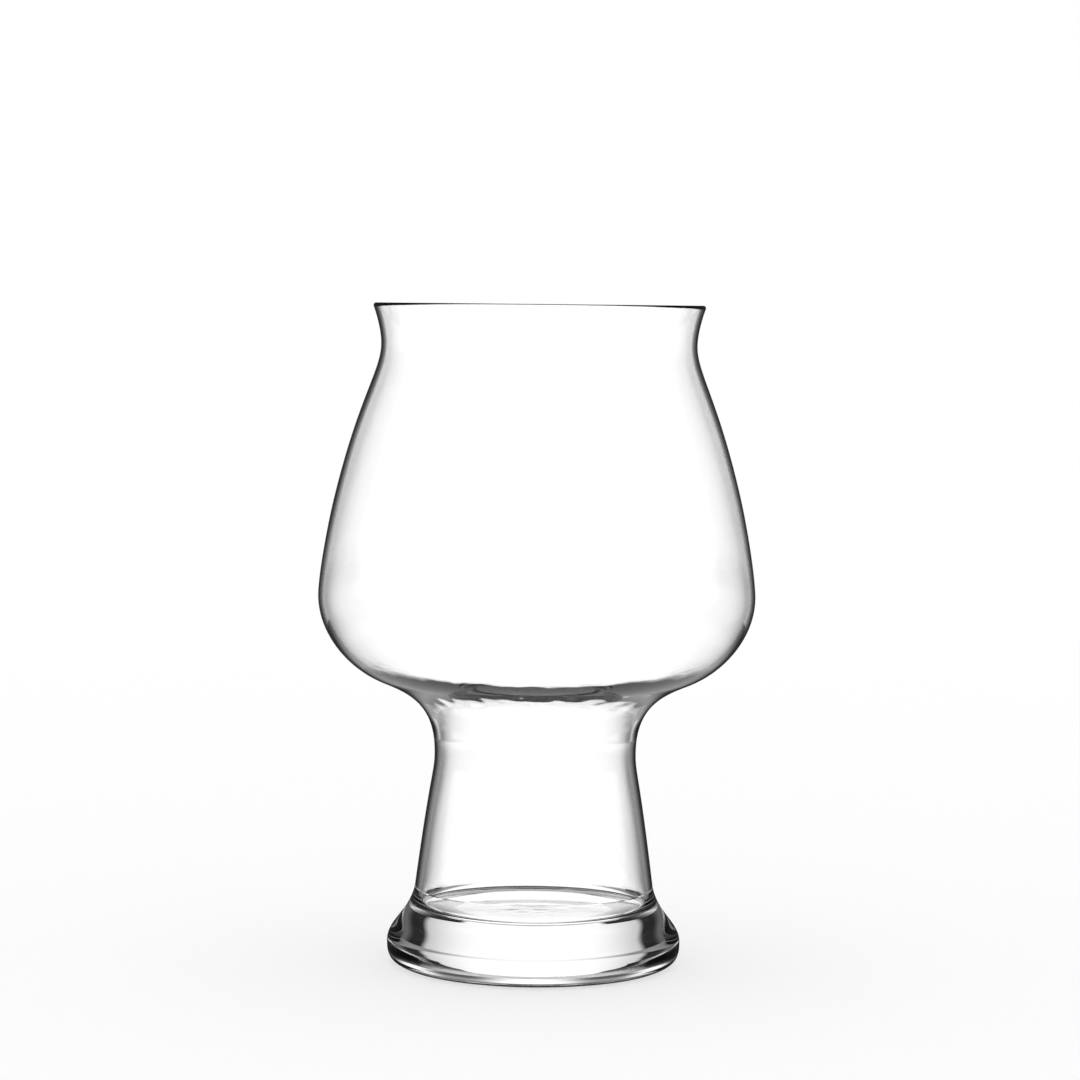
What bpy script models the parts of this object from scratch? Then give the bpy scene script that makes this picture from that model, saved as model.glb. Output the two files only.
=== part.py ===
"""Cider glass: a bowl with a flared lip on a hollow stem and a thick solid foot.

Units are metres and +Z is up. The origin is the centre of the flat underside of the foot.
The outside of the glass is one curve from the rim to the table, drawn through a few named
stations. The inside follows it at the wall's thickness. Two level seams cut that wall into
the three pieces that are fused together: bowl, stem and foot.
"""

import math

import bmesh
import bpy
from mathutils import Matrix, Vector

MM = 0.001

# Heights of the three pieces, from seam to seam
FOOT_HEIGHT = 16.5 * MM
STEM_LENGTH = 40.0 * MM
BOWL_HEIGHT = 87.5 * MM
SEAM_GAP = 0.3 * MM

# Outside of the bowl: rises are above the seam under the bowl, drops are below the rim
RIM_RADIUS = 36.0 * MM
NECK_RADIUS = 34.3 * MM
NECK_DROP = 8.8 * MM
SIDE_RADIUS = 44.2 * MM
SIDE_RISE = 45.5 * MM
BELLY_RADIUS = 47.6 * MM
BELLY_RISE = 24.0 * MM
SHELF_RADIUS = 34.1 * MM
SHELF_RISE = 5.5 * MM

# Outside of the stem: its waist lies below the seam under the bowl
WAIST_RADIUS = 22.0 * MM
WAIST_DROP = 10.3 * MM
STEM_FOOT_RADIUS = 26.1 * MM

# Outside of the foot: its widest line and its rounded lower edge, round a flat underside
FOOT_RADIUS = 32.1 * MM
FOOT_WIDEST_RISE = 4.7 * MM
FOOT_EDGE_INSET = 2.8 * MM

# Thickness of the wall, square to its surface: it is thickest at the seam under the bowl
RIM_WALL = 1.1 * MM
BOWL_WALL = 1.3 * MM
SHELF_WALL = 2.5 * MM
STEM_WALL = 1.4 * MM
THICK_RISE = 9.5 * MM
THICK_DROP = 8.0 * MM

# The floor inside the foot: level in the middle, with a dished side that climbs to the bore
FLOOR_DROP = 6.2 * MM
FLOOR_EDGE_RADIUS = 17.0 * MM

# Lean of a curve at a station, in degrees from straight down, outward positive
LIP_LEAN = -20.0
SIDE_LEAN = 13.4
SHELF_LEAN = -68.0
STEM_FOOT_LEAN = 7.3
FLARE_LEAN = 14.0
DISH_LEAN = 11.0
FLOOR_EDGE_LEAN = -82.0
EDGE_LEAN = -70.0
UPRIGHT = 0.0

# Reach of each curve's two handles, as shares of the straight line between its ends
LIP_REACH = (0.30, 0.30)
THROAT_REACH = (0.17, 0.65)
SIDE_REACH = (0.30, 0.20)
BELLY_REACH = (0.34, 0.36)
SHOULDER_REACH = (0.37, 0.50)
STEM_REACH = (0.16, 0.88)
FLARE_REACH = (0.49, 0.29)
EDGE_REACH = (0.50, 0.45)
DISH_REACH = (0.46, 0.95)

# Fineness of the solids
TURN_STEPS = 48
CURVE_STEPS = 5
RIM_STEPS = 4
SHARP_ANGLE = math.radians(35.0)

GLASS_COLOUR = (0.97, 0.98, 0.98, 1.0)
GLASS_ROUGHNESS = 0.02
GLASS_IOR = 1.52

RIM_HEIGHT = FOOT_HEIGHT + STEM_LENGTH + BOWL_HEIGHT
BOWL_SEAM = FOOT_HEIGHT + STEM_LENGTH
FOOT_SEAM = FOOT_HEIGHT


def station(radius, height):
    """A point of the section: x is the radius, y the height."""
    return Vector((radius, height))


def heading(lean):
    """Unit direction that runs down the section with this lean."""
    angle = math.radians(lean)
    return Vector((math.sin(angle), -math.cos(angle)))


def curve(start, start_lean, end, end_lean, reach, steps=CURVE_STEPS):
    """Points and directions down a cubic curve, with its first point left to the curve before it."""
    chord = (end - start).length
    first = start + heading(start_lean) * chord * reach[0]
    second = end - heading(end_lean) * chord * reach[1]
    run = []
    for step in range(1, steps + 1):
        t = step / steps
        s = 1.0 - t
        point = start * s**3 + first * 3 * s * s * t + second * 3 * s * t * t + end * t**3
        slope = (first - start) * s * s + (second - first) * 2 * s * t + (end - second) * t * t
        run.append((point, slope.normalized()))
    return run


def outer_wall():
    """The outside from the rim down to the seam on the foot, as points with directions."""
    rim_tuck = RIM_WALL / 2 * (1 + math.sin(math.radians(-LIP_LEAN)))
    rim = station(RIM_RADIUS, RIM_HEIGHT - rim_tuck)
    neck = station(NECK_RADIUS, RIM_HEIGHT - NECK_DROP)
    side = station(SIDE_RADIUS, BOWL_SEAM + SIDE_RISE)
    belly = station(BELLY_RADIUS, BOWL_SEAM + BELLY_RISE)
    shelf = station(SHELF_RADIUS, BOWL_SEAM + SHELF_RISE)
    waist = station(WAIST_RADIUS, BOWL_SEAM - WAIST_DROP)
    stem_foot = station(STEM_FOOT_RADIUS, FOOT_SEAM)
    wall = [(rim, heading(LIP_LEAN))]
    wall += curve(rim, LIP_LEAN, neck, UPRIGHT, LIP_REACH)
    wall += curve(neck, UPRIGHT, side, SIDE_LEAN, THROAT_REACH)
    wall += curve(side, SIDE_LEAN, belly, UPRIGHT, SIDE_REACH)
    wall += curve(belly, UPRIGHT, shelf, SHELF_LEAN, BELLY_REACH)
    wall += curve(shelf, SHELF_LEAN, waist, UPRIGHT, SHOULDER_REACH)
    wall += curve(waist, UPRIGHT, stem_foot, STEM_FOOT_LEAN, STEM_REACH)
    return wall


def wall_thickness(height):
    """Thickness of the wall at a height, eased between its named places."""
    places = [
        (RIM_HEIGHT, RIM_WALL),
        (BOWL_SEAM + THICK_RISE, BOWL_WALL),
        (BOWL_SEAM, SHELF_WALL),
        (BOWL_SEAM - THICK_DROP, STEM_WALL),
    ]
    for (upper, upper_wall), (lower, lower_wall) in zip(places, places[1:]):
        if height >= lower:
            share = (height - lower) / (upper - lower)
            return lower_wall + (upper_wall - lower_wall) * share * share * (3.0 - 2.0 * share)
    return STEM_WALL


def inner_wall(wall):
    """The inside of the wall: each outer point moved inward, square to the surface."""
    inside = []
    for point, direction in wall:
        inward = Vector((direction.y, -direction.x))
        inside.append(point + inward * wall_thickness(point.y))
    return inside


def cut_level(points, height):
    """The point where a run down the section passes this height, carried on past its last point."""
    for above, below in zip(points, points[1:]):
        if below.y <= height:
            break
    share = (above.y - height) / (above.y - below.y)
    return above.lerp(below, share)


def stretch(points, top, bottom):
    """The part of a run between two levels, with a point on each level."""
    between = [point for point in points if bottom < point.y < top]
    return [cut_level(points, top)] + between + [cut_level(points, bottom)]


def rim_arc(outside, inside):
    """Points over the rounded rim, from the inner face up and over to the outer face."""
    centre = (outside + inside) / 2
    spoke = inside - centre
    arc = []
    for step in range(1, RIM_STEPS):
        turn = Matrix.Rotation(-math.pi * step / RIM_STEPS, 2)
        arc.append(centre + turn @ spoke)
    return arc


def bowl_section(outside, inside):
    """Closed section of the bowl: down the outside, up the inside, over the rim."""
    bottom = BOWL_SEAM + SEAM_GAP
    down = [outside[0]] + stretch(outside, outside[0].y, bottom)[1:]
    up = [inside[0]] + stretch(inside, inside[0].y, bottom)[1:]
    return down + up[::-1] + rim_arc(outside[0], inside[0])


def stem_section(outside, inside):
    """Closed section of the stem's tube between the two seams."""
    down = stretch(outside, BOWL_SEAM, FOOT_SEAM + SEAM_GAP)
    up = stretch(inside, BOWL_SEAM, FOOT_SEAM + SEAM_GAP)
    return down + up[::-1]


def floor_run(corner):
    """The floor inside, from its middle outward and up the dished side to the bore."""
    edge = station(FLOOR_EDGE_RADIUS, FOOT_SEAM - FLOOR_DROP)
    middle = station(0.0, edge.y)
    dish = [point for point, _ in curve(corner, DISH_LEAN, edge, FLOOR_EDGE_LEAN, DISH_REACH)]
    return [middle] + dish[::-1] + [corner]


def foot_section(outside, inside):
    """Section of the foot from the middle of its floor, round the outside, to the middle below."""
    corner = cut_level(inside, FOOT_SEAM)
    crease = outside[-1]
    widest = station(FOOT_RADIUS, FOOT_WIDEST_RISE)
    underside = station(FOOT_RADIUS - FOOT_EDGE_INSET, 0.0)
    section = floor_run(corner) + [crease]
    section += [point for point, _ in curve(crease, FLARE_LEAN, widest, UPRIGHT, FLARE_REACH)]
    section += [point for point, _ in curve(widest, UPRIGHT, underside, EDGE_LEAN, EDGE_REACH)]
    return section + [station(0.0, 0.0)]


def turn_section(name, section, seat, closed):
    """Spin a section once round the axis and return the object, standing at its seat height."""
    shape = bmesh.new()
    points = [shape.verts.new((point.x, 0.0, point.y - seat)) for point in section]
    edges = [shape.edges.new(pair) for pair in zip(points, points[1:])]
    if closed:
        edges.append(shape.edges.new((points[-1], points[0])))
    bmesh.ops.spin(
        shape,
        geom=points + edges,
        axis=(0.0, 0.0, 1.0),
        angle=math.tau,
        steps=TURN_STEPS,
        use_merge=True,
    )
    bmesh.ops.remove_doubles(shape, verts=shape.verts, dist=0.001 * MM)
    bmesh.ops.recalc_face_normals(shape, faces=shape.faces)
    mesh = bpy.data.meshes.new(name)
    shape.to_mesh(mesh)
    shape.free()
    mesh.shade_smooth()
    mesh.set_sharp_from_angle(angle=SHARP_ANGLE)
    piece = bpy.data.objects.new(name, mesh)
    piece.location.z = seat
    bpy.context.scene.collection.objects.link(piece)
    return piece


def clear_glass(name):
    """Colourless soda-lime glass."""
    material = bpy.data.materials.new(name)
    material.use_nodes = True
    shader = material.node_tree.nodes["Principled BSDF"]
    shader.inputs["Base Color"].default_value = GLASS_COLOUR
    shader.inputs["Roughness"].default_value = GLASS_ROUGHNESS
    shader.inputs["Metallic"].default_value = 0.0
    shader.inputs["IOR"].default_value = GLASS_IOR
    shader.inputs["Transmission Weight"].default_value = 1.0
    return material


def main():
    for leftover in list(bpy.data.objects):
        bpy.data.objects.remove(leftover, do_unlink=True)

    wall = outer_wall()
    outside = [point for point, _ in wall]
    inside = inner_wall(wall)

    glass = bpy.data.objects.new("cider_glass", None)
    bpy.context.scene.collection.objects.link(glass)
    pieces = [
        turn_section("bowl", bowl_section(outside, inside), BOWL_SEAM, closed=True),
        turn_section("stem", stem_section(outside, inside), FOOT_SEAM, closed=True),
        turn_section("foot", foot_section(outside, inside), 0.0, closed=False),
    ]
    for piece in pieces:
        piece.parent = glass
        piece.data.materials.append(clear_glass(piece.name + "_glass"))


main()
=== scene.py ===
"""Looks of the cider glass: fine clear surfaces over the solids, a pale floor and staged studio light."""

import math
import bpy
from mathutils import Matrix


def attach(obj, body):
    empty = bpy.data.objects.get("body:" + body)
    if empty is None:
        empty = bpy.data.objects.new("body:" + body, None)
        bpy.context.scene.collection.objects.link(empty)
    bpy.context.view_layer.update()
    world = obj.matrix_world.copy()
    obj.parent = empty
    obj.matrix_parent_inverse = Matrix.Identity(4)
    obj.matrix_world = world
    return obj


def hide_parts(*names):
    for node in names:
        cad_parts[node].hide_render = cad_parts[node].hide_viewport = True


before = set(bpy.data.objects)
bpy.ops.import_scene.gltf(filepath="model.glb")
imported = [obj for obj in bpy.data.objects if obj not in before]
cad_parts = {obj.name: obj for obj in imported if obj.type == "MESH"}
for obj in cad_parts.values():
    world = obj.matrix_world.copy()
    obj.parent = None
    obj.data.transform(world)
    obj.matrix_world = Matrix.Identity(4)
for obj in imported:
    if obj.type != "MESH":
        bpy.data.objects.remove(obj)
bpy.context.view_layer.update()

from types import SimpleNamespace

import bmesh
import bpy
import numpy as np
from mathutils import Matrix

MM = 0.001

# The same sizes as the solids. Rises are above the seam under the bowl, drops are below the rim.
FOOT_SEAM = 16.5 * MM
BOWL_SEAM = 56.5 * MM
RIM_HEIGHT = 144.0 * MM
RIM_RADIUS = 36.0 * MM
NECK_RADIUS = 34.3 * MM
NECK_DROP = 8.8 * MM
SIDE_RADIUS = 44.2 * MM
SIDE_RISE = 45.5 * MM
BELLY_RADIUS = 47.6 * MM
BELLY_RISE = 24.0 * MM
SHELF_RADIUS = 34.1 * MM
SHELF_RISE = 5.5 * MM
STEM_FOOT_RADIUS = 26.1 * MM

# The stem's waist lies below the seam under the bowl. The foot's rise is above the table.
WAIST_RADIUS = 22.0 * MM
WAIST_DROP = 10.3 * MM
FOOT_RADIUS = 32.1 * MM
FOOT_WIDEST_RISE = 4.7 * MM
FOOT_EDGE_INSET = 2.8 * MM

# Thickness of the wall, square to its surface, and the floor inside, below the seam on the foot
RIM_WALL = 1.1 * MM
BOWL_WALL = 1.3 * MM
SHELF_WALL = 2.5 * MM
STEM_WALL = 1.4 * MM
THICK_RISE = 9.5 * MM
THICK_DROP = 8.0 * MM
FLOOR_DROP = 6.2 * MM
FLOOR_EDGE_RADIUS = 17.0 * MM

# Lean of a curve at a station, in degrees from straight down, outward positive
LIP_LEAN = -20.0
SIDE_LEAN = 13.4
SHELF_LEAN = -68.0
STEM_FOOT_LEAN = 7.3
FLARE_LEAN = 14.0
DISH_LEAN = 11.0
FLOOR_EDGE_LEAN = -82.0
EDGE_LEAN = -70.0
OUTWARD = 90.0
INWARD = -90.0
UPRIGHT = 0.0

# Reach of each curve's two handles, as shares of the straight line between its ends
LIP_REACH = (0.30, 0.30)
THROAT_REACH = (0.17, 0.65)
SIDE_REACH = (0.30, 0.20)
BELLY_REACH = (0.34, 0.36)
SHOULDER_REACH = (0.37, 0.50)
STEM_REACH = (0.16, 0.88)
FLARE_REACH = (0.49, 0.29)
EDGE_REACH = (0.50, 0.45)
FLOOR_REACH = (0.33, 0.33)
DISH_REACH = (0.46, 0.95)

# Faint waves that hot working leaves inside the shoulder and on the floor
SHELF_WAVE = 0.05 * MM
FLOOR_WAVE = 0.04 * MM
SHELF_WAVE_TOP = 12.0 * MM
WAVES = 5
WAVE_LENGTH = 3.2 * MM
WAVE_GROWTH = 1.25
WAVE_TURN = 2.4
WAVE_SHIFT = 1.7

# Fineness of the surfaces
TURN_STEPS = 192
CURVE_STEPS = 28
RIM_STEPS = 12
STAGE_STEPS = 96
SHARP_ANGLE = math.radians(40.0)

# Clear glass. The noise in its finish has this many swells to the metre; limits are values of the noise.
GLASS_IOR = 1.52
GLASS_CLEARNESS = 0.99
GLASS_ROUGHNESS = 0.02
SKIN_SCALE = 60.0
SKIN_DEPTH = 0.02 * MM
CLEARNESS_LIMITS = (0.3, 0.5)
POLISH_LIMITS = (0.35, 0.65)

# The camera stands level with the rim and looks down a little, as the photograph's does
CAMERA_DISTANCE = 739.0 * MM
CAMERA_HEIGHT = RIM_HEIGHT
CAMERA_ASIDE = 0.57 * MM
CAMERA_PITCH = 3.97
CAMERA_ROLL = 0.6
CAMERA_LENS = 113.33
CAMERA_SENSOR = 36.0

# Light levels, where 1 is white. World, floor and ring choose among them by a ray's path: whether it was
# mirrored in the glass or came through it, and how often. So the light isn't one physical set-up.
WHITE = (1.0, 1.0, 1.0, 1.0)
WHITE_LIGHT = 1.0
PANEL_LIGHT = 1.2
FLAG_LIGHT = 0.3
LEVEL_FLAG_LIGHT = 0.1
SIDE_LIGHT = 0.32
DARK_LIGHT = 0.02
NO_LIGHT = 0.0
LOW_LIGHT = 0.19
DEEP_LIGHT = 0.05
ROOM_LIGHT = 0.8
BACK_LIGHT = 1.1
BACK_EDGE_LIGHT = 0.6
CARD_LIGHT = 0.17
TABLE_LIGHT = 0.8
FRONT_LIGHT = 0.04
FILL_LIGHT = 0.95
BACKDROP_LIGHT = 1.35

# Panels round the glass, and the values of the wave round it between which they ease into flags
PANELS = 8
PANEL_WIDENING = 0.15
PANEL_WAVE = (-1.0, 0.9)
STEEP_WAVE = (-0.75, -0.3)
LEVEL_WAVE = (-0.9, 1.2)
SIDE_WAVE = (-0.9, 0.6)

# Limits between which one light eases into the next: by the rise of the ray, as a share of its length
WIDENING_RISE = (-0.145, -0.125)
STEEP_RISE = (-0.60, -0.52)
LEVEL_RISE = (-0.06, -0.03)
LOW_RISE = (-0.35, -0.2)
FAR_RISE = (-0.2, -0.08)
CARD_RISE = (0.32, 0.42)
DEEP_RISE = (0.36, 0.60)
ABOVE_RISE = (-0.03, 0.005)
BELOW_RISE = (-0.75, -0.55)
FRONT_RISE = (-0.45, -0.25)

# And by its turn from straight behind the glass: the back wall, its black card, and the grey one beside it
BACK_TURN = np.radians((14.0, 40.0))
CARD_NEAR_TURN = np.radians((34.0, 39.0))
CARD_TURN = np.radians((46.0, 58.0))
CARD_FAR_TURN = np.radians((64.0, 74.0))

# The floor fades to white with the distance. A black strip of painted contact shadow lies under the foot's
# edge, seen only by rays mirrored in the glass.
FLOOR_RADIUS = 3.0
FLOOR_CLEARANCE = 0.2 * MM
FLOOR_COLOUR = 0.45
FLOOR_LIFT = 0.56
FLOOR_FADE = (150.0 * MM, 800.0 * MM)
CONTACT_SHADOW_INNER = (28.3 * MM, 29.2 * MM)
CONTACT_SHADOW_OUTER = (33.0 * MM, 36.0 * MM)

# The ring of flags, folded every eighth of a turn: a gap at each quarter, then dark, then paler flags
FLAG_RING_RADIUS = 150.0 * MM
FLAG_RING_LOW = 47.0 * MM
FLAG_RING_HIGH = 220.0 * MM
FLAG_FOLD = math.pi / 4
FLAG_GAP = np.radians((14.0, 17.0))
FLAG_FADE = 2.73
FLAG_FADE_START = 1.143
FLAG_FADE_POWER = 2.5
FLAG_FADE_LIGHT = 0.85
FLAG_SIDE_LIGHT = 0.35
FLAG_SIDE = (0.74 * FLAG_RING_RADIUS, 0.86 * FLAG_RING_RADIUS)
BACKDROP_HEIGHT = (74.0 * MM, 84.0 * MM)


def heading(lean):
    """Unit direction that runs down the section with this lean."""
    angle = math.radians(lean)
    return np.array((math.sin(angle), -math.cos(angle)))


def curve(start, start_lean, end, end_lean, reach, steps=CURVE_STEPS):
    """Points and directions down a cubic curve, without its first point."""
    start = np.array(start)
    end = np.array(end)
    chord = np.linalg.norm(end - start)
    first = start + heading(start_lean) * chord * reach[0]
    second = end - heading(end_lean) * chord * reach[1]
    t = (np.arange(1, steps + 1) / steps)[:, None]
    s = 1.0 - t
    points = start * s**3 + first * 3 * s * s * t + second * 3 * s * t * t + end * t**3
    slopes = (first - start) * s * s + (second - first) * 2 * s * t + (end - second) * t * t
    return points, slopes / np.linalg.norm(slopes, axis=1)[:, None]


def outer_wall():
    """The outside from the rim down to the seam on the foot, as points and directions."""
    rim_tuck = RIM_WALL / 2 * (1 + math.sin(math.radians(-LIP_LEAN)))
    rim = (RIM_RADIUS, RIM_HEIGHT - rim_tuck)
    neck = (NECK_RADIUS, RIM_HEIGHT - NECK_DROP)
    side = (SIDE_RADIUS, BOWL_SEAM + SIDE_RISE)
    belly = (BELLY_RADIUS, BOWL_SEAM + BELLY_RISE)
    shelf = (SHELF_RADIUS, BOWL_SEAM + SHELF_RISE)
    waist = (WAIST_RADIUS, BOWL_SEAM - WAIST_DROP)
    stem_foot = (STEM_FOOT_RADIUS, FOOT_SEAM)
    runs = [
        (np.array([rim]), heading(LIP_LEAN)[None]),
        curve(rim, LIP_LEAN, neck, UPRIGHT, LIP_REACH),
        curve(neck, UPRIGHT, side, SIDE_LEAN, THROAT_REACH),
        curve(side, SIDE_LEAN, belly, UPRIGHT, SIDE_REACH),
        curve(belly, UPRIGHT, shelf, SHELF_LEAN, BELLY_REACH),
        curve(shelf, SHELF_LEAN, waist, UPRIGHT, SHOULDER_REACH),
        curve(waist, UPRIGHT, stem_foot, STEM_FOOT_LEAN, STEM_REACH),
    ]
    return np.vstack([run[0] for run in runs]), np.vstack([run[1] for run in runs])


def wall_thickness(height):
    """Thickness of the wall at each height, eased between its named places."""
    places = [
        (FOOT_SEAM, STEM_WALL),
        (BOWL_SEAM - THICK_DROP, STEM_WALL),
        (BOWL_SEAM, SHELF_WALL),
        (BOWL_SEAM + THICK_RISE, BOWL_WALL),
        (RIM_HEIGHT, RIM_WALL),
    ]
    wall = np.full(len(height), STEM_WALL)
    for (low, low_wall), (high, high_wall) in zip(places, places[1:]):
        share = np.clip((height - low) / (high - low), 0.0, 1.0)
        wall += (high_wall - low_wall) * share * share * (3 - 2 * share)
    return wall


def inner_wall(points, directions):
    """The inside of the wall: each outer point moved inward, square to the surface."""
    inward = np.column_stack((directions[:, 1], -directions[:, 0]))
    return points + inward * wall_thickness(points[:, 1])[:, None]


def cut_level(points, height):
    """The point where a run down the section passes this height."""
    below = np.argmax(points[:, 1] <= height) or len(points) - 1
    upper, lower = points[below - 1], points[below]
    return upper + (lower - upper) * (upper[1] - height) / (upper[1] - lower[1])


def stretch(points, top, bottom):
    """The part of a run between two levels, with a point on each level."""
    between = points[(points[:, 1] < top) & (points[:, 1] > bottom)]
    return np.vstack((cut_level(points, top), between, cut_level(points, bottom)))


def rim_arc(outside, inside):
    """Points over the rounded rim, from the inner face up and over to the outer face."""
    centre = (outside + inside) / 2
    spoke = inside - centre
    side_spoke = np.array((spoke[1], -spoke[0]))
    angles = math.pi * np.arange(1, RIM_STEPS) / RIM_STEPS
    return centre + np.outer(np.cos(angles), spoke) + np.outer(np.sin(angles), side_spoke)


def floor_run(corner):
    """The inside of the foot, from the middle of its floor outward and up the dished side to the bore."""
    edge = np.array((FLOOR_EDGE_RADIUS, FOOT_SEAM - FLOOR_DROP))
    middle = np.array((0.0, edge[1]))
    floor, _ = curve(middle, OUTWARD, edge, OUTWARD, FLOOR_REACH)
    dish, _ = curve(corner, DISH_LEAN, edge, FLOOR_EDGE_LEAN, DISH_REACH)
    return np.vstack((middle, floor, dish[-2::-1], corner))


def bowl_section(outside, inside):
    """Closed section of the bowl, the place of its seam face, and the height of its waves."""
    down = np.vstack((outside[:1], stretch(outside, outside[0, 1], BOWL_SEAM)[1:]))
    up = np.vstack((inside[:1], stretch(inside, inside[0, 1], BOWL_SEAM)[1:]))[::-1]
    section = np.vstack((down, up, rim_arc(outside[0], inside[0])))
    waves = np.zeros(len(section))
    share = np.clip((up[:, 1] - BOWL_SEAM) / SHELF_WAVE_TOP, 0.0, 1.0)
    waves[len(down):len(down) + len(up)] = SHELF_WAVE * np.sin(math.pi * share) ** 2
    return section, [len(down) - 1], waves


def stem_section(outside, inside):
    """Closed section of the stem's tube, the places of its two seam faces, and no waves."""
    down = stretch(outside, BOWL_SEAM, FOOT_SEAM)
    up = stretch(inside, BOWL_SEAM, FOOT_SEAM)[::-1]
    section = np.vstack((down, up))
    return section, [len(down) - 1, len(section) - 1], np.zeros(len(section))


def foot_section(outside, inside):
    """Section of the foot from the middle of its floor, round the outside, to the middle below,
    with the place of its seam face and the height of its waves."""
    corner = cut_level(inside, FOOT_SEAM)
    crease = outside[-1]
    widest = (FOOT_RADIUS, FOOT_WIDEST_RISE)
    underside = (FOOT_RADIUS - FOOT_EDGE_INSET, 0.0)
    middle = (0.0, 0.0)
    floor = floor_run(corner)
    flare, _ = curve(crease, FLARE_LEAN, widest, UPRIGHT, FLARE_REACH)
    edge, _ = curve(widest, UPRIGHT, underside, EDGE_LEAN, EDGE_REACH)
    below, _ = curve(underside, INWARD, middle, INWARD, FLOOR_REACH)
    section = np.vstack((floor, crease, flare, edge, below))
    waves = np.zeros(len(section))
    share = np.clip(floor[:, 0] / FLOOR_EDGE_RADIUS, 0.0, 1.0)
    waves[:len(floor)] = FLOOR_WAVE * np.cos(math.pi / 2 * share) ** 2
    return section, [len(floor) - 1], waves


def ripple(x, y):
    """Height of the waves at a place seen from above: a few straight waves laid over each other."""
    total = np.zeros_like(x)
    for count in range(WAVES):
        length = WAVE_LENGTH * WAVE_GROWTH**count
        along = x * math.cos(WAVE_TURN * count) + y * math.sin(WAVE_TURN * count)
        total += np.sin(math.tau * along / length + WAVE_SHIFT * count)
    return total / math.sqrt(WAVES)


def lathe(name, section, seams, waves, closed):
    """A mesh object turned from a section; the faces on the seams get the second material slot."""
    angles = math.tau * np.arange(TURN_STEPS) / TURN_STEPS
    rings = len(section)
    x = section[:, :1] * np.cos(angles)
    y = section[:, :1] * np.sin(angles)
    z = section[:, 1:] + waves[:, None] * ripple(x, y)
    points = np.stack((x, y, z), axis=2).reshape(-1, 3)
    faces = []
    marks = []
    for ring in range(rings if closed else rings - 1):
        below = (ring + 1) % rings
        for step in range(TURN_STEPS):
            after = (step + 1) % TURN_STEPS
            face = [
                ring * TURN_STEPS + step,
                below * TURN_STEPS + step,
                below * TURN_STEPS + after,
                ring * TURN_STEPS + after,
            ]
            if not closed and ring == 0:
                face = [0, face[1], face[2]]
            if not closed and below == rings - 1:
                face = [face[0], below * TURN_STEPS, face[3]]
            faces.append(face)
            marks.append(1 if ring in seams else 0)
    mesh = bpy.data.meshes.new(name)
    mesh.from_pydata(points.tolist(), [], faces)
    mesh.polygons.foreach_set("material_index", marks)
    mesh.polygons.foreach_set("use_smooth", [mark == 0 for mark in marks])
    mesh.set_sharp_from_angle(angle=SHARP_ANGLE)
    piece = bpy.data.objects.new(name, mesh)
    bpy.context.scene.collection.objects.link(piece)
    remove_loose(mesh)
    return piece


def remove_loose(mesh):
    """Drop the spare copies of the points on the axis."""
    shape = bmesh.new()
    shape.from_mesh(mesh)
    loose = [vert for vert in shape.verts if not vert.link_faces]
    bmesh.ops.delete(shape, geom=loose, context="VERTS")
    shape.to_mesh(mesh)
    shape.free()
    mesh.update()


def feed(tree, socket, source):
    """Link an output to the socket, or set the socket to a plain number."""
    if isinstance(source, (int, float)):
        socket.default_value = source
    else:
        tree.links.new(source, socket)


def math_node(tree, operation, first, second=0.0, clamp=False):
    """A math node fed by outputs or plain numbers; returns its output."""
    node = tree.nodes.new("ShaderNodeMath")
    node.operation = operation
    node.use_clamp = clamp
    feed(tree, node.inputs[0], first)
    feed(tree, node.inputs[1], second)
    return node.outputs[0]


def product(tree, first, *others):
    """The product of two or more outputs or plain numbers."""
    for other in others:
        first = math_node(tree, "MULTIPLY", first, other)
    return first


def ramp(tree, value, low, high, limits):
    """A value eased from one level to another between two limits."""
    node = tree.nodes.new("ShaderNodeMapRange")
    node.interpolation_type = "SMOOTHSTEP"
    feed(tree, node.inputs["Value"], value)
    for socket, number in zip(node.inputs[1:5], (*limits, low, high)):
        socket.default_value = number
    return node.outputs["Result"]


def choose(tree, mask, value, otherwise):
    """The value where the mask is 1, and otherwise the other one; both may be plain numbers."""
    node = tree.nodes.new("ShaderNodeMix")
    feed(tree, node.inputs[0], mask)
    feed(tree, node.inputs[2], otherwise)
    feed(tree, node.inputs[3], value)
    return node.outputs[0]


def mix_shaders(tree, mask, shader, otherwise):
    """The shader where the mask is 1, and otherwise the other one."""
    node = tree.nodes.new("ShaderNodeMixShader")
    for socket, source in zip(node.inputs, (mask, otherwise, shader)):
        tree.links.new(source, socket)
    return node.outputs[0]


def emission(tree, strength):
    """White light of this strength, an output or a plain number."""
    node = tree.nodes.new("ShaderNodeEmission")
    feed(tree, node.inputs["Strength"], strength)
    return node.outputs[0]


def see_through(tree):
    """A shader that lets every ray pass unbent."""
    return tree.nodes.new("ShaderNodeBsdfTransparent").outputs[0]


def position(tree):
    """The place that is shaded, in the world."""
    return tree.nodes.new("ShaderNodeNewGeometry").outputs["Position"]


def separate(tree, vector):
    """The X, Y and Z outputs of a vector."""
    node = tree.nodes.new("ShaderNodeSeparateXYZ")
    tree.links.new(vector, node.inputs[0])
    return node.outputs["X"], node.outputs["Y"], node.outputs["Z"]


def noise(tree, scale):
    """Soft noise in the piece's own space, with this many swells to the metre; returns its value."""
    node = tree.nodes.new("ShaderNodeTexNoise")
    node.inputs["Scale"].default_value = scale
    node.inputs["Detail"].default_value = 0.0
    tree.links.new(tree.nodes.new("ShaderNodeTexCoord").outputs["Object"], node.inputs["Vector"])
    return node.outputs[0]


def fold(tree, azimuth, count):
    """A wave round the glass: 1 in the middle of each of the panels, -1 halfway between two."""
    return math_node(tree, "COSINE", math_node(tree, "MULTIPLY", azimuth, count))


def at_least(tree, depth, count):
    """Mask of the rays whose depth is this count or more."""
    return math_node(tree, "GREATER_THAN", depth, count - 0.5)


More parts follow.
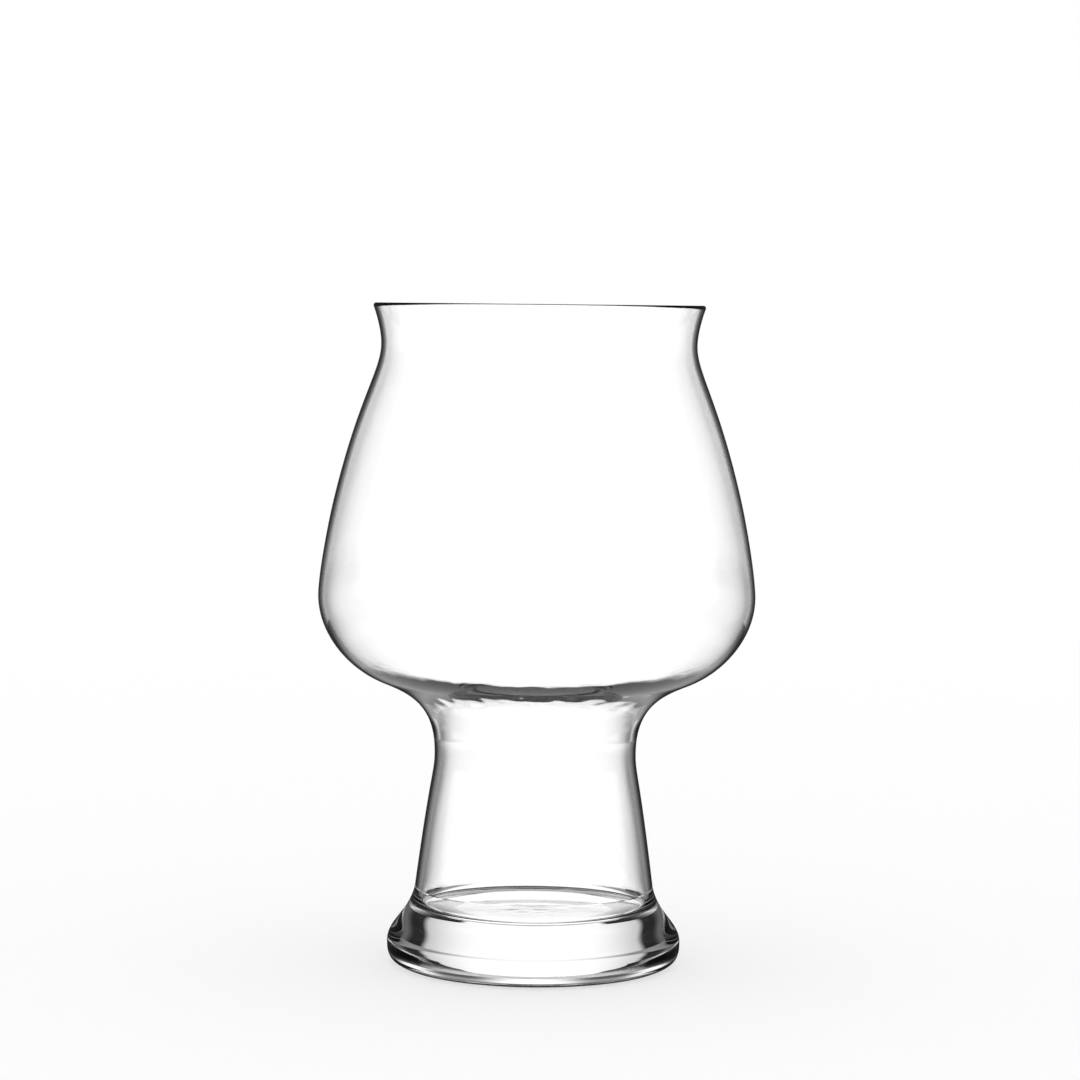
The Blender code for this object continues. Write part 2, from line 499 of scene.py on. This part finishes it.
def light_path(tree):
    """Masks by a ray's path. A ray is the camera's own, or mirrored off the outside, or mirrored inside the
    glass, or came through it unmirrored. It is short if it crossed two surfaces at most, deep if it was
    mirrored twice or more, and deepest from three times on."""
    path = tree.nodes.new("ShaderNodeLightPath")
    mirrors = path.outputs["Glossy Depth"]
    crossings = path.outputs["Transmission Depth"]
    mirrored = at_least(tree, mirrors, 1)
    entered = at_least(tree, crossings, 1)
    inside = math_node(tree, "MULTIPLY", mirrored, entered)
    return SimpleNamespace(
        camera=path.outputs["Is Camera Ray"],
        outside=math_node(tree, "SUBTRACT", mirrored, inside),
        inside=inside,
        through=math_node(tree, "SUBTRACT", entered, inside),
        short=math_node(tree, "SUBTRACT", 1.0, at_least(tree, crossings, 3)),
        deep=at_least(tree, mirrors, 2),
        deepest=at_least(tree, mirrors, 3),
    )


def new_material(name):
    """An empty node material with its output node."""
    material = bpy.data.materials.new(name)
    material.use_nodes = True
    material.node_tree.nodes.clear()
    output = material.node_tree.nodes.new("ShaderNodeOutputMaterial")
    return material, material.node_tree, output


def clear_glass(name):
    """Colourless fire-polished glass, faintly uneven in its clearness, polish and skin."""
    material, tree, output = new_material(name)
    shader = tree.nodes.new("ShaderNodeBsdfPrincipled")
    shader.inputs["IOR"].default_value = GLASS_IOR
    shader.inputs["Transmission Weight"].default_value = 1.0
    swell = noise(tree, SKIN_SCALE)
    clearness = ramp(tree, swell, GLASS_CLEARNESS, 1.0, CLEARNESS_LIMITS)
    polish = ramp(tree, swell, 0.0, GLASS_ROUGHNESS, POLISH_LIMITS)
    skin = tree.nodes.new("ShaderNodeBump")
    skin.inputs["Distance"].default_value = SKIN_DEPTH
    tree.links.new(swell, skin.inputs["Height"])
    tree.links.new(clearness, shader.inputs["Base Color"])
    tree.links.new(polish, shader.inputs["Roughness"])
    tree.links.new(skin.outputs["Normal"], shader.inputs["Normal"])
    tree.links.new(shader.outputs[0], output.inputs["Surface"])
    return material


def fused_seam():
    """Inside a fused joint the glass goes on unbroken, so its faces show nothing."""
    material, tree, output = new_material("fused_seam")
    tree.links.new(see_through(tree), output.inputs["Surface"])
    return material


def make_glass():
    """The three pieces of the glass, each in place of its solid."""
    points, directions = outer_wall()
    inside = inner_wall(points, directions)
    seam = fused_seam()
    sections = {
        "bowl": (*bowl_section(points, inside), True),
        "stem": (*stem_section(points, inside), True),
        "foot": (*foot_section(points, inside), False),
    }
    for node, (section, seams, waves, closed) in sections.items():
        piece = lathe("glass_" + node, section, seams, waves, closed)
        piece.data.materials.append(clear_glass(node + "_glass"))
        piece.data.materials.append(seam)
        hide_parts(node)
        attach(piece, "root")


def panel_light(tree, rise, azimuth):
    """Light for rays that came through the glass: pale panels with flags between them. The panels are wide
    for the steepest rays and soft for the rays that leave almost level."""
    wave = fold(tree, azimuth, PANELS)
    slow_wave = fold(tree, azimuth, PANELS / 2)
    widening = ramp(tree, rise, 0.0, PANEL_WIDENING, WIDENING_RISE)
    widened_wave = math_node(tree, "ADD", wave, widening)
    panels = ramp(tree, widened_wave, FLAG_LIGHT, PANEL_LIGHT, PANEL_WAVE)
    steep_panels = ramp(tree, slow_wave, DARK_LIGHT, PANEL_LIGHT, STEEP_WAVE)
    level_panels = ramp(tree, wave, LEVEL_FLAG_LIGHT, PANEL_LIGHT, LEVEL_WAVE)
    panels = choose(tree, ramp(tree, rise, 1.0, 0.0, STEEP_RISE), steep_panels, panels)
    return choose(tree, ramp(tree, rise, 0.0, 1.0, LEVEL_RISE), level_panels, panels)


def back_light(tree, rise, azimuth):
    """The back wall: brightest in its middle, then a black card and a grey one on each side."""
    aside = math_node(tree, "ABSOLUTE", azimuth)
    wall = ramp(tree, aside, BACK_LIGHT, BACK_EDGE_LIGHT, BACK_TURN)
    cards = choose(tree, ramp(tree, aside, 1.0, 0.0, CARD_TURN), DARK_LIGHT, CARD_LIGHT)
    wall = choose(tree, ramp(tree, aside, 0.0, 1.0, CARD_NEAR_TURN), cards, wall)
    far_edge = ramp(tree, aside, 1.0, 0.0, CARD_FAR_TURN)
    top_edge = ramp(tree, rise, 1.0, 0.0, CARD_RISE)
    return choose(tree, product(tree, far_edge, top_edge), wall, PANEL_LIGHT)


def room_light(tree, rise, azimuth, path):
    """Light for rays mirrored inside the glass: dark sides below the horizon, the back wall above it, and
    white straight down."""
    slow_wave = fold(tree, azimuth, PANELS / 2)
    sides = ramp(tree, slow_wave, SIDE_LIGHT, DARK_LIGHT, SIDE_WAVE)
    sides = choose(tree, ramp(tree, rise, 1.0, 0.0, LOW_RISE), LOW_LIGHT, sides)
    far_sides = choose(tree, ramp(tree, rise, 0.0, 1.0, FAR_RISE), ROOM_LIGHT, sides)
    sides = choose(tree, path.short, sides, far_sides)
    backs = choose(tree, path.deep, DEEP_LIGHT, back_light(tree, rise, azimuth))
    high_backs = ramp(tree, rise, DEEP_LIGHT, PANEL_LIGHT, DEEP_RISE)
    backs = choose(tree, path.deepest, high_backs, backs)
    backs = choose(tree, path.short, backs, ROOM_LIGHT)
    room = choose(tree, ramp(tree, rise, 0.0, 1.0, ABOVE_RISE), backs, sides)
    return choose(tree, ramp(tree, rise, 1.0, 0.0, BELOW_RISE), PANEL_LIGHT, room)


def make_world():
    """White for the camera; through the glass, and mirrored in it, white panels with dark gaps."""
    world = bpy.data.worlds.new("studio")
    bpy.context.scene.world = world
    world.use_nodes = True
    tree = world.node_tree
    tree.nodes.clear()
    output = tree.nodes.new("ShaderNodeOutputWorld")
    background = tree.nodes.new("ShaderNodeBackground")
    background.inputs["Color"].default_value = WHITE
    tree.links.new(background.outputs[0], output.inputs["Surface"])
    direction = tree.nodes.new("ShaderNodeTexCoord").outputs["Generated"]
    x, y, rise = separate(tree, direction)
    azimuth = math_node(tree, "ARCTAN2", x, y)
    path = light_path(tree)
    front = ramp(tree, rise, TABLE_LIGHT, FRONT_LIGHT, FRONT_RISE)
    level = choose(tree, path.through, panel_light(tree, rise, azimuth), FILL_LIGHT)
    level = choose(tree, path.inside, room_light(tree, rise, azimuth, path), level)
    level = choose(tree, path.outside, front, level)
    level = choose(tree, path.camera, WHITE_LIGHT, level)
    tree.links.new(level, background.inputs["Strength"])


def make_floor():
    """A pale disc that fades into the white around it and keeps the glass's soft shadow. Rays that have met
    the glass pass through it, but the mirrored ones find a black strip of painted contact shadow under the
    foot's edge."""
    bpy.ops.mesh.primitive_circle_add(vertices=STAGE_STEPS, radius=FLOOR_RADIUS, fill_type="TRIFAN")
    floor = bpy.context.object
    floor.name = "floor"
    floor.location.z = -FLOOR_CLEARANCE
    material, tree, output = new_material("pale_floor")
    length = tree.nodes.new("ShaderNodeVectorMath")
    length.operation = "LENGTH"
    tree.links.new(position(tree), length.inputs[0])
    radius = length.outputs["Value"]
    diffuse = tree.nodes.new("ShaderNodeBsdfDiffuse")
    diffuse.inputs["Color"].default_value = (FLOOR_COLOUR, FLOOR_COLOUR, FLOOR_COLOUR, 1.0)
    near = tree.nodes.new("ShaderNodeAddShader")
    tree.links.new(diffuse.outputs[0], near.inputs[0])
    tree.links.new(emission(tree, FLOOR_LIFT), near.inputs[1])
    far = ramp(tree, radius, 0.0, 1.0, FLOOR_FADE)
    pale = mix_shaders(tree, far, emission(tree, WHITE_LIGHT), near.outputs[0])
    path = light_path(tree)
    mirrored = math_node(tree, "ADD", path.outside, path.inside)
    touched = math_node(tree, "ADD", mirrored, path.through)
    unseen = mix_shaders(tree, touched, see_through(tree), pale)
    # Painted contact shadow: a black strip on the floor under the foot's edge, dark only for rays mirrored
    # in the glass
    inner = ramp(tree, radius, 0.0, 1.0, CONTACT_SHADOW_INNER)
    outer = ramp(tree, radius, 1.0, 0.0, CONTACT_SHADOW_OUTER)
    painted_contact_shadow = product(tree, inner, outer, mirrored)
    whole = mix_shaders(tree, painted_contact_shadow, emission(tree, NO_LIGHT), unseen)
    tree.links.new(whole, output.inputs["Surface"])
    floor.data.materials.append(material)


def make_flags():
    """A ring round the bowl that only rays from the glass meet: dark flags for the rays mirrored once inside
    its wall, and a bright backdrop for the rays that came through the bowl."""
    bpy.ops.mesh.primitive_cylinder_add(
        vertices=STAGE_STEPS,
        radius=FLAG_RING_RADIUS,
        depth=FLAG_RING_HIGH - FLAG_RING_LOW,
        end_fill_type="NOTHING",
        location=(0.0, 0.0, (FLAG_RING_HIGH + FLAG_RING_LOW) / 2),
    )
    ring = bpy.context.object
    ring.name = "flags"
    material, tree, output = new_material("dark_flags")
    x, y, height = separate(tree, position(tree))
    azimuth = math_node(tree, "ARCTAN2", x, y)
    turn = math_node(tree, "PINGPONG", azimuth, FLAG_FOLD)
    fade = math_node(tree, "MULTIPLY", turn, FLAG_FADE)
    fade = math_node(tree, "SUBTRACT", fade, FLAG_FADE_START, clamp=True)
    fade = math_node(tree, "POWER", fade, FLAG_FADE_POWER)
    fade = math_node(tree, "MULTIPLY", fade, FLAG_FADE_LIGHT)
    level = math_node(tree, "ADD", fade, DARK_LIGHT)
    side = ramp(tree, math_node(tree, "ABSOLUTE", x), 0.0, FLAG_SIDE_LIGHT, FLAG_SIDE)
    level = math_node(tree, "MAXIMUM", level, side)
    path = light_path(tree)
    shallow = math_node(tree, "SUBTRACT", 1.0, path.deep)
    beside_gap = ramp(tree, turn, 0.0, 1.0, FLAG_GAP)
    once = product(tree, path.inside, path.short, shallow, beside_gap)
    flags = mix_shaders(tree, once, emission(tree, level), see_through(tree))
    behind = product(tree, path.through, ramp(tree, height, 0.0, 1.0, BACKDROP_HEIGHT))
    whole = mix_shaders(tree, behind, emission(tree, BACKDROP_LIGHT), flags)
    tree.links.new(whole, output.inputs["Surface"])
    ring.data.materials.append(material)


def make_camera():
    """The camera of the photograph."""
    data = bpy.data.cameras.new("camera")
    data.lens = CAMERA_LENS
    data.sensor_width = CAMERA_SENSOR
    camera = bpy.data.objects.new("camera", data)
    bpy.context.scene.collection.objects.link(camera)
    camera.location = (CAMERA_ASIDE, -CAMERA_DISTANCE, CAMERA_HEIGHT)
    tilt = Matrix.Rotation(math.radians(90.0 - CAMERA_PITCH), 4, "X")
    roll = Matrix.Rotation(math.radians(CAMERA_ROLL), 4, "Z")
    camera.rotation_euler = (tilt @ roll).to_euler()
    bpy.context.scene.camera = camera


def main():
    """The glass, its stage and the camera."""
    make_glass()
    make_world()
    make_floor()
    make_flags()
    make_camera()
    bpy.context.scene.view_settings.view_transform = "Standard"


main()
